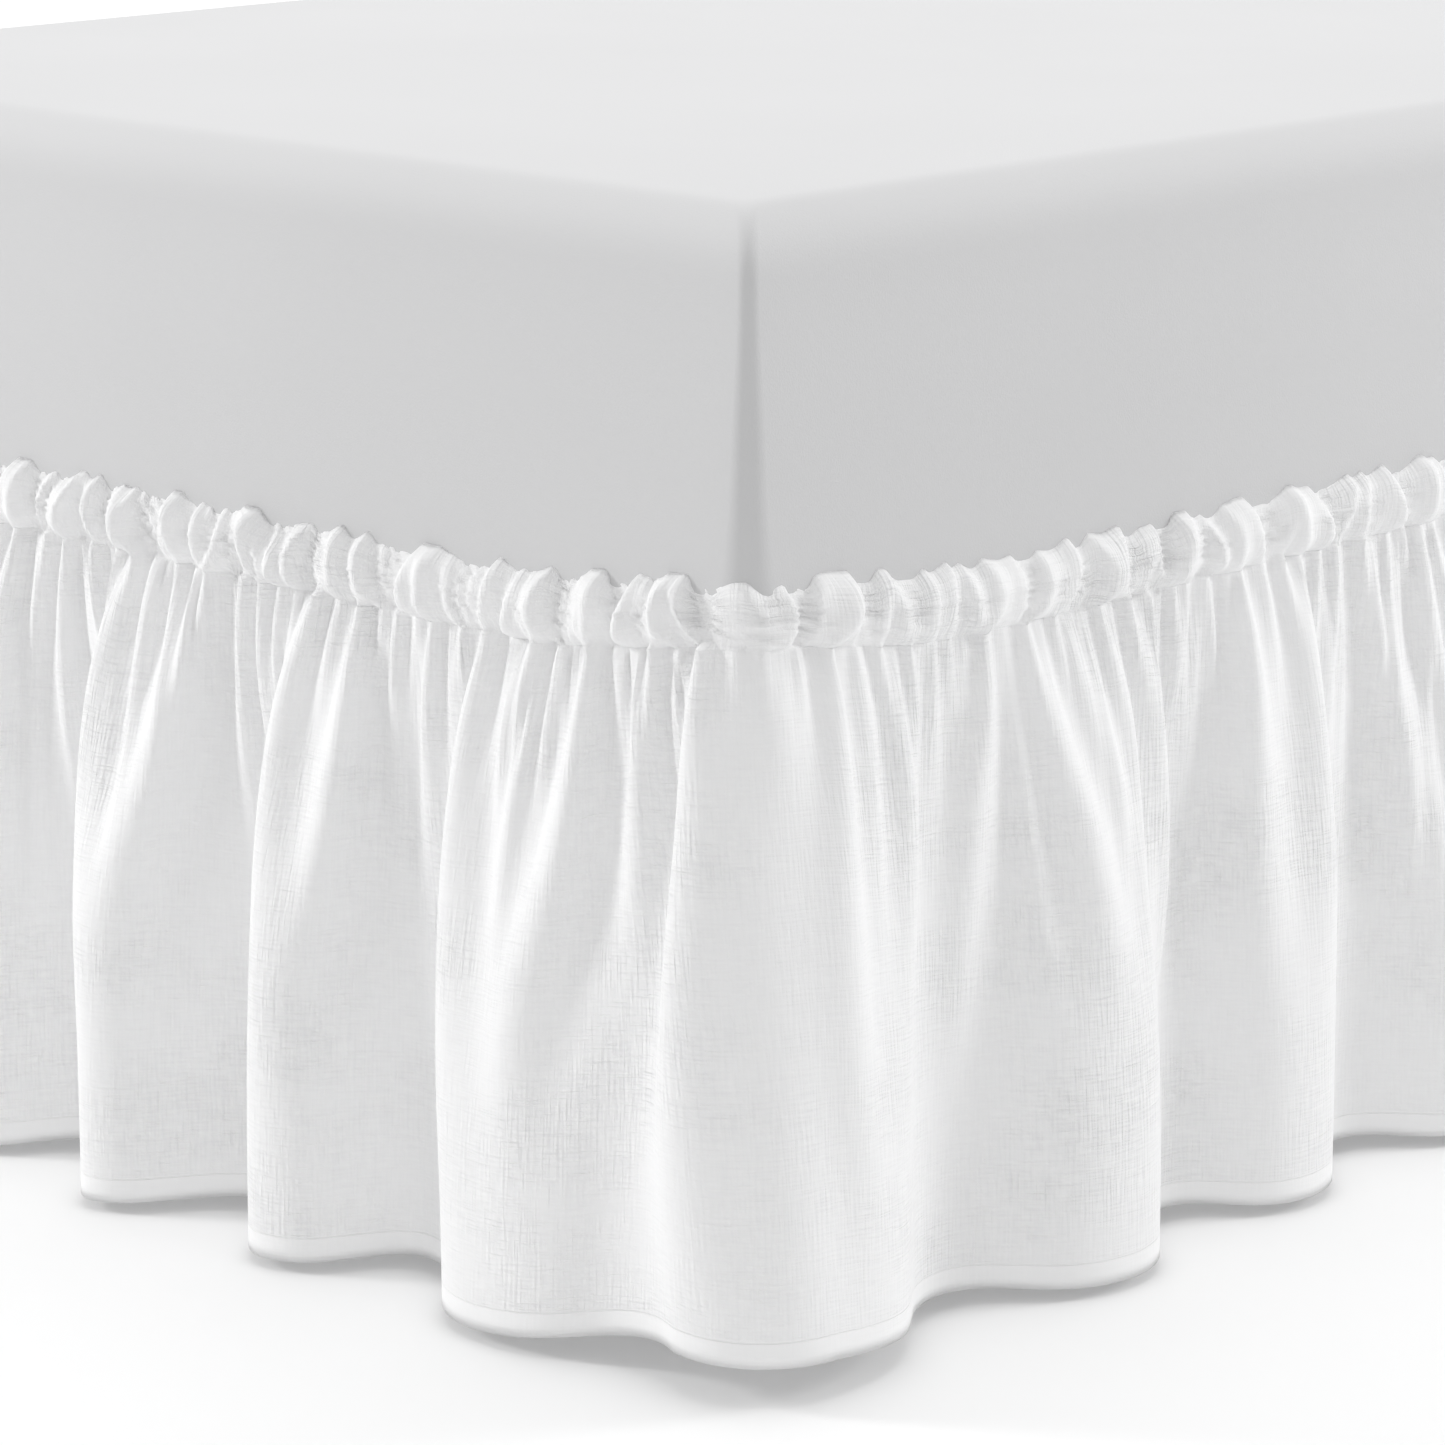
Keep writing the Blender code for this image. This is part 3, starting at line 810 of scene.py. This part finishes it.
for axis in range(3):
    seam = np.append(drop[0, :, axis], drop[0, 0, axis])
    heading[0, :, axis] = np.interp(heading_cloth_at, wrapped, seam)
print("heading stands out up to", round(float(heading_out.max()) * 1000, 1), "mm")

# %% [markdown]
# ## Settling the heading
# The heading settles as the drop did, but it is held more, since elastic and stitches hold it at both
# edges. Its top edge presses a millimetre or two into the soft mattress, as a snug heading does.

# %% Settle the heading
OUTSIDE_CLEARANCE = 0.0034
TOP_CLEARANCE = ((0.0030,), (0.0012,))
INSIDE_HOLD, OUTSIDE_HOLD = 0.4, 0.05
HEADING_BEND, HEADING_BEND_DOWN = 0.055, 0.08
HEADING_PULL, HEADING_PULL_DOWN = 0.55, 0.6
HIGHEST_ABOVE_EDGE = 0.006
HEADING_ROUNDS = 120
row_lengths = np.concatenate([
    np.full(OUTSIDE_ROWS - 1, CASING_OUTSIDE / (OUTSIDE_ROWS - 1)),
    np.full(INSIDE_ROWS, CASING_INSIDE / INSIDE_ROWS),
])
heading_rest_down = np.broadcast_to(row_lengths[:, None], (len(up) - 1, heading.shape[1])).astype(np.float32)
heading_start = heading.copy()
least_out = np.where(outside > 0, OUTSIDE_CLEARANCE, INSIDE_CLEARANCE)[:, None].astype(np.float32)
least_out[OUTSIDE_ROWS - 2: OUTSIDE_ROWS] = TOP_CLEARANCE
top_row = OUTSIDE_ROWS - 1
for _ in range(HEADING_ROUNDS):
    straighten(heading, HEADING_BEND, HEADING_BEND_DOWN)
    pull_across(heading, heading_across, HEADING_PULL)
    pull_down(heading, heading_rest_down, HEADING_PULL_DOWN)
    keep_out(heading, least_out)
    heading[0] = heading_start[0]
    heading[top_row:] += INSIDE_HOLD * (heading_start[top_row:] - heading[top_row:])
    heading[1:-1] += OUTSIDE_HOLD * (heading_start[1:-1] - heading[1:-1])
    heading[..., 2] = np.minimum(heading[..., 2], heading_start[top_row, :, 2] + HIGHEST_ABOVE_EDGE)
casing_height = np.concatenate([[0.0], np.cumsum(row_lengths)])
skirt_heading = strip_mesh("heading_cloth", heading, heading_cloth_at, DROP_CUT + casing_height)
print("heading:", len(skirt_heading.data.polygons) * 2, "triangles")

# %% [markdown]
# ## The mattress
# The mattress is a soft block under a smooth fitted cover. Foam gives its edges a wide round, its top a
# slight crown and its sides a slight swell, and the cover draws into a narrow crease at each corner. It
# is one grid wrapped round the block, and this is one ring of that grid.

# %% One ring round the mattress
MATTRESS_LOW, MATTRESS_HIGH = 0.4002, 0.6110
EDGE_ROUND = 0.036
CROWN = 0.003
SWELL = 0.0035
CREASE_DEPTH = 0.0005
CREASE_WIDTH = 0.0035
MATTRESS_CORNER = 0.008
CORNER_COLUMNS, LONG_COLUMNS, SHORT_COLUMNS = 24, 110, 64


def mattress_ring(inset, radius, height, crease):
    """One ring round the mattress, `inset` from its side, as points (x, y, z)."""
    ring = []
    half_x, half_y = BED_WIDTH / 2 - inset - radius, BED_LENGTH / 2 - inset - radius
    for quarter, (sign_x, sign_y) in enumerate(((1, -1), (1, 1), (-1, 1), (-1, -1))):
        facing = quarter * math.pi / 2
        turned = np.linspace(facing - math.pi / 2, facing, CORNER_COLUMNS, endpoint=False)
        dip = crease * np.exp(-(((turned - facing + math.pi / 4) * radius / CREASE_WIDTH) ** 2))
        x = sign_x * half_x + (radius - dip) * np.cos(turned)
        y = sign_y * half_y + (radius - dip) * np.sin(turned)
        ring += list(zip(x, y))
        side = (half_y, half_x)[quarter % 2]
        run = np.linspace(0, 2 * side, (LONG_COLUMNS, SHORT_COLUMNS)[quarter % 2], endpoint=False)
        x = sign_x * half_x + radius * math.cos(facing) - run * math.sin(facing)
        y = sign_y * half_y + radius * math.sin(facing) + run * math.cos(facing)
        ring += list(zip(x, y))
    return [(x, y, height) for x, y in ring]


print("mattress", round(MATTRESS_HIGH + CROWN - MATTRESS_LOW, 3), "m thick at its crown")

# %% [markdown]
# ## Rings over the top and down the side
# The rings start in the middle of the top, go over the round edge, down the swelling side and a little
# way under. The crease deepens on the way down, and the corner grows to the radius of the bed base.

# %% The mattress's rings
UNDER_ROUND = 0.005
mattress_rows = []
for inset in np.linspace(0.470, EDGE_ROUND + 0.012, 18):
    crown = CROWN * (1 - (1 - (inset - EDGE_ROUND) / 0.44) ** 3)
    mattress_rows.append(mattress_ring(inset, MATTRESS_CORNER, MATTRESS_HIGH + crown, 0.0))
for angle in np.linspace(0, math.pi / 2, 12):
    inset = EDGE_ROUND * (1 - math.sin(angle))
    height = MATTRESS_HIGH - EDGE_ROUND * (1 - math.cos(angle))
    crease = CREASE_DEPTH * 0.3 * math.sin(angle) ** 4
    mattress_rows.append(mattress_ring(inset, MATTRESS_CORNER, height, crease))
side_high = MATTRESS_HIGH - EDGE_ROUND
side_low = MATTRESS_LOW + UNDER_ROUND
for share in np.linspace(0, 1, 20)[1:]:
    swell = SWELL * math.sin(math.pi * min(0.60, share)) ** 2
    crease = CREASE_DEPTH * (0.3 + 0.7 * share)
    corner = MATTRESS_CORNER + (CORNER_RADIUS - MATTRESS_CORNER) * share**3
    height = side_high + (side_low - side_high) * share
    mattress_rows.append(mattress_ring(-swell, corner + swell, height, crease))
for angle in np.linspace(0, math.pi / 2, 5)[1:]:
    inset = UNDER_ROUND * (1 - math.cos(angle)) - swell
    height = side_low - UNDER_ROUND * math.sin(angle)
    mattress_rows.append(mattress_ring(inset, CORNER_RADIUS + swell, height, CREASE_DEPTH))
print("mattress rings:", len(mattress_rows))

# %% [markdown]
# The rings become a mesh with the same faces as the cloth, and one face closes it at the top and one
# below.

# %% The mattress's mesh
mattress_points = np.array(mattress_rows)
rows, columns = mattress_points.shape[:2]
faces = ring_faces(rows, columns)
faces.append(list(range(columns)))
faces.append(list(range((rows - 1) * columns, rows * columns))[::-1])
mattress_mesh = bpy.data.meshes.new("mattress_pad")
mattress_mesh.from_pydata(mattress_points.reshape(-1, 3).tolist(), [], faces)
mattress_mesh.shade_smooth()
mattress_pad = put_in_scene("mattress_pad", mattress_mesh)
print("mattress:", len(faces), "faces")

# %% [markdown]
# ## Writing shader maths as plain expressions
# A material is a small sum: so much colour, a little less in the dips. Wrapping each socket in a class
# that knows plus, minus and times lets us write that sum as we would on paper, and the class adds the
# Math nodes. With the reflected forms a plain number may also stand first, as in 1.0 - wire.

# %% A socket that knows arithmetic


class Wire:
    """An output of a node, which adds Math nodes when it is used in a sum."""

    def __init__(self, finish, socket):
        self.finish = finish
        self.socket = socket

    def maths(self, operation, first, second=0.0, clamp=False):
        settings = {"operation": operation, "use_clamp": clamp}
        return self.finish.node("ShaderNodeMath", settings, {0: first, 1: second})

    def __add__(self, other):
        return self.maths("ADD", self, other)

    __radd__ = __add__

    def __sub__(self, other):
        return self.maths("SUBTRACT", self, other)

    def __rsub__(self, other):
        return self.maths("SUBTRACT", other, self)

    def __mul__(self, other):
        return self.maths("MULTIPLY", self, other)

    __rmul__ = __mul__

    def __abs__(self):
        return self.maths("ABSOLUTE", self)

    def clamped(self):
        return self.maths("ADD", self, clamp=True)


# %% [markdown]
# ## A material under construction
# Every other node comes from one method that takes its type, settings and inputs. Colours go through
# the Mix node, which blends two of them by a mask, and relief goes through Bump into Normal.

# %% The builder of finishes


class Finish:
    """A material under construction."""

    def __init__(self, name):
        self.material = bpy.data.materials.new(name)
        self.material.use_nodes = True
        self.tree = self.material.node_tree
        self.shader = self.tree.nodes["Principled BSDF"]
        self.output = self.tree.nodes["Material Output"]

    def node(self, kind, settings=None, inputs=None, output=0):
        made = self.tree.nodes.new(kind)
        for name, value in (settings or {}).items():
            setattr(made, name, value)
        for name, value in (inputs or {}).items():
            self.feed(made.inputs[name], value)
        return Wire(self, made.outputs[output])

    def feed(self, socket, value):
        if isinstance(value, Wire):
            self.tree.links.new(value.socket, socket)
        else:
            socket.default_value = value

    def shade(self, **values):
        """Feeds the main shader's sockets: base_color becomes Base Color."""
        for name, value in values.items():
            self.feed(self.shader.inputs[name.replace("_", " ").title()], value)

    def blend(self, mask, first, second):
        settings = {"data_type": "RGBA"}
        return self.node("ShaderNodeMix", settings, {0: mask, 6: (*first, 1), 7: (*second, 1)}, 2)

    def stretched(self, vector, scale):
        return self.node("ShaderNodeMapping", {}, {"Vector": vector, "Scale": scale})

    def noise(self, vector, scale, detail=2.0, dimensions="3D"):
        inputs = {"Vector": vector, "Scale": scale, "Detail": detail, "Roughness": 0.5}
        return self.node("ShaderNodeTexNoise", {"noise_dimensions": dimensions}, inputs)

    def bump(self, height, distance, strength=1.0):
        inputs = {"Height": height, "Distance": distance, "Strength": strength}
        return self.node("ShaderNodeBump", {}, inputs)


# %% [markdown]
# ## The cloth's finish
# The cloth is a light slub weave: plain threads with thick places here and there, which show as short
# lines along and across. A noise stretched along the strip draws the crossways ones, and one stretched
# down the cloth the others. A broad noise lets them come and go in patches.

# %% The slubs of the weave
SLUBS_ACROSS = (48.0, 700.0, 1.0)
SLUBS_DOWN = (600.0, 42.0, 1.0)
PATCHES = (9.0, 12.0, 1.0)


def slub_weave(cloth, place):
    wide = cloth.noise(cloth.stretched(place, SLUBS_ACROSS), 1.0, detail=1.0, dimensions="2D")
    tall = cloth.noise(cloth.stretched(place, SLUBS_DOWN), 1.0, detail=1.0, dimensions="2D")
    patch = cloth.noise(cloth.stretched(place, PATCHES), 1.0, detail=2.0, dimensions="2D")
    patchy = ((patch - 0.38) * 3.5).clamped()
    return ((wide - 0.5) + (tall - 0.5)) * (0.35 + 0.65 * patchy)


print("a thread's slub is about", round(1000 / SLUBS_ACROSS[0]), "mm long")

# %% [markdown]
# ## Colour, hem and light that comes through
# The height on the flat strip tells the hem from the rest. There the weave is softer and paler, with a
# faint line where it is stitched. Light comes through this thin cloth, so a share of the shading is
# translucent, a little less of it where the hem is doubled.

# %% Slub-weave cloth
CLOTH_GREY, CLOTH_WHITE = (0.925, 0.925, 0.935), (0.995, 0.995, 0.995)
THREADS = 1500.0
STITCH_LINE = HEM_WIDTH - 0.0015
HEM_SHARPNESS, STITCH_SHARPNESS = 2500.0, 1600.0
SEE_THROUGH = 0.15
WEAVE_RELIEF = 0.00055


def slub_cloth(name):
    cloth = Finish(name)
    place = cloth.node("ShaderNodeUVMap", {"uv_map": CLOTH_UV})
    level = cloth.node("ShaderNodeSeparateXYZ", {}, {"Vector": place}, 1)
    doubled = ((HEM_WIDTH - level) * HEM_SHARPNESS).clamped()
    stitches = (1.0 - abs(level - STITCH_LINE) * STITCH_SHARPNESS).clamped()
    soften = 1.0 - 0.75 * doubled
    slub = slub_weave(cloth, place)
    thread = cloth.noise(place, THREADS, detail=1.0, dimensions="2D")
    relief = 1.7 * slub + 0.2 * thread
    shade = (0.58 + 1.7 * slub * soften + 0.20 * doubled - 0.10 * stitches).clamped()
    cloth.shade(
        base_color=cloth.blend(shade, CLOTH_GREY, CLOTH_WHITE),
        roughness=0.85,
        sheen_weight=0.08,
        normal=cloth.bump(relief * soften - 0.6 * stitches, WEAVE_RELIEF),
    )
    front = Wire(cloth, cloth.shader.outputs[0])
    through = cloth.node("ShaderNodeBsdfTranslucent", {}, {"Color": (0.93, 0.93, 0.93, 1)})
    share = SEE_THROUGH - 0.03 * doubled
    mixed = cloth.node("ShaderNodeMixShader", {}, {0: share, 1: front, 2: through})
    cloth.feed(cloth.output.inputs["Surface"], mixed)
    return cloth.material


skirt_drop.data.materials.append(slub_cloth("slub_cloth_drop"))
skirt_heading.data.materials.append(slub_cloth("slub_cloth_heading"))
print("nodes in the cloth's finish:", len(skirt_drop.data.materials[0].node_tree.nodes))

# %% [markdown]
# ## The bed's finishes
# The mattress cover is a fine smooth knit in a slightly greyer white. The base is upholstered in a
# plain woven cloth, and the legs are moulded plastic with a faint grain. These noises follow the
# object's own coordinates, so that they stay on it wherever it is put.

# %% Mattress cover, base cloth and leg plastic


def mattress_cover():
    cover = Finish("mattress_cover")
    place = cover.node("ShaderNodeTexCoord", output=3)
    soft = cover.noise(place, 4.0, detail=3.0)
    knit = cover.noise(place, 900.0, detail=2.0)
    cover.shade(
        base_color=cover.blend(soft, (0.565, 0.565, 0.570), (0.595, 0.595, 0.600)),
        roughness=0.9,
        sheen_weight=0.05,
        normal=cover.bump(knit + 3.0 * soft, 0.00025, 0.5),
    )
    return cover.material


def base_cloth():
    woven = Finish("base_cloth")
    place = woven.node("ShaderNodeTexCoord", output=3)
    thread = woven.noise(place, 700.0, detail=2.0)
    tone = woven.noise(place, 6.0, detail=2.0)
    woven.shade(
        base_color=woven.blend(tone, (0.60, 0.60, 0.61), (0.70, 0.70, 0.71)),
        roughness=0.88,
        normal=woven.bump(thread, 0.0004, 0.6),
    )
    return woven.material


def leg_plastic():
    plastic = Finish("leg_plastic_grain")
    place = plastic.node("ShaderNodeTexCoord", output=3)
    grain = plastic.noise(place, 500.0, detail=2.0)
    plastic.shade(
        base_color=plastic.blend(grain, (0.030, 0.030, 0.034), (0.050, 0.050, 0.054)),
        roughness=grain * 0.15 + 0.40,
        normal=plastic.bump(grain, 0.0001, 0.5),
    )
    return plastic.material


mattress_pad.data.materials.append(mattress_cover())
upholstery, plastic = base_cloth(), leg_plastic()
for name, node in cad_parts.items():
    if name == "bed_base" or name.startswith("leg_"):
        node.data.materials.clear()
        node.data.materials.append(upholstery if name == "bed_base" else plastic)
print("materials:", len(bpy.data.materials))

# %% [markdown]
# ## Putting each piece on the bed
# Each new piece rides on the bed and takes the place of the plain solid it covers, which is hidden.

for piece, node, slot in (
    (skirt_drop, "skirt_drop", "skirt_cloth"),
    (skirt_heading, "skirt_heading", "heading_cloth"),
    (mattress_pad, "mattress", "mattress_ticking"),
):
    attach(piece, "root")
    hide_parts(node)

# %% [markdown]
# ## The floor
# A high-key picture stands on a pale floor that burns out to white. The floor also glows a little, so
# that the shadow by the hem stays pale.

# %% Floor
FLOOR = 9.0
floor_mesh = bpy.data.meshes.new("floor")
floor_corners = [(x * FLOOR, y * FLOOR, 0) for x, y in ((-1, -1), (1, -1), (1, 1), (-1, 1))]
floor_mesh.from_pydata(floor_corners, [], [(0, 1, 2, 3)])
floor = put_in_scene("floor", floor_mesh)
pale = Finish("pale_floor")
pale.shade(base_color=(0.70, 0.70, 0.70, 1), roughness=0.8)
pale.shade(emission_color=(1, 1, 1, 1), emission_strength=0.20)
floor_mesh.materials.append(pale.material)
floor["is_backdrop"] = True
print("floor:", 2 * FLOOR, "m wide")

# %% [markdown]
# ## The lights
# Most of the light comes evenly from the white room. Two low lights rake across the two sides in view,
# each from its far end, which brings out folds and weave. One wide light above brightens the mattress,
# and one behind the bed keeps the floor there white.

# %% Lights
AIM = (0.45, -0.90, 0.25)
ROOM_LIGHT = 0.67


def soft_light(name, place, size, power, aim=AIM):
    lamp = bpy.data.lights.new(name, "AREA")
    lamp.shape = "DISK"
    lamp.size = size
    lamp.energy = power
    light = put_in_scene(name, lamp)
    light.location = place
    light.rotation_euler = (Vector(aim) - Vector(place)).to_track_quat("-Z", "Y").to_euler()


soft_light("side_left", (-3.2, -3.2, 1.9), 0.9, 84)
soft_light("side_right", (2.5, 2.6, 1.8), 1.2, 60)
soft_light("top", (0.2, -0.4, 4.2), 3.0, 58, (0.3, -0.6, 0))
soft_light("far_floor", (-3.8, 3.4, 3.0), 3.0, 90, (-3.8, 3.4, 0))
world = bpy.data.worlds.new("studio")
world.use_nodes = True
room = world.node_tree.nodes["Background"]
room.inputs["Color"].default_value = (1, 1, 1, 1)
room.inputs["Strength"].default_value = ROOM_LIGHT
bpy.context.scene.world = world
bpy.context.scene.view_settings.view_transform = "Standard"
print("lights:", len(bpy.data.lights))

# %% [markdown]
# ## The camera
# A long lens looks down at the near corner from a little under a metre high. Its place was found by
# laying the bed, as a box of its real size, over the edges in the photograph.

# %% Camera
LENS = 119.08
LOOKS_DOWN, TURNED = 14.162, 43.777
camera_data = bpy.data.cameras.new("camera")
camera_data.sensor_width = 36
camera_data.lens = LENS
camera = put_in_scene("camera", camera_data)
camera.location = (2.0928, -2.6379, 0.9408)
camera.rotation_euler = (math.radians(90 - LOOKS_DOWN), 0, math.radians(TURNED))
bpy.context.scene.camera = camera
print("camera:", round(camera.location.length, 2), "m from the middle of the bed")

# %% [markdown]
# ## Sizes and the end
# Last we print how large the dressed model is. It should stay inside the solid model, give or take the
# softness of the cloth.

# %% Print the size and finish
low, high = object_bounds()
print("visual box:", [round(v, 4) for v in (*low, *high)])
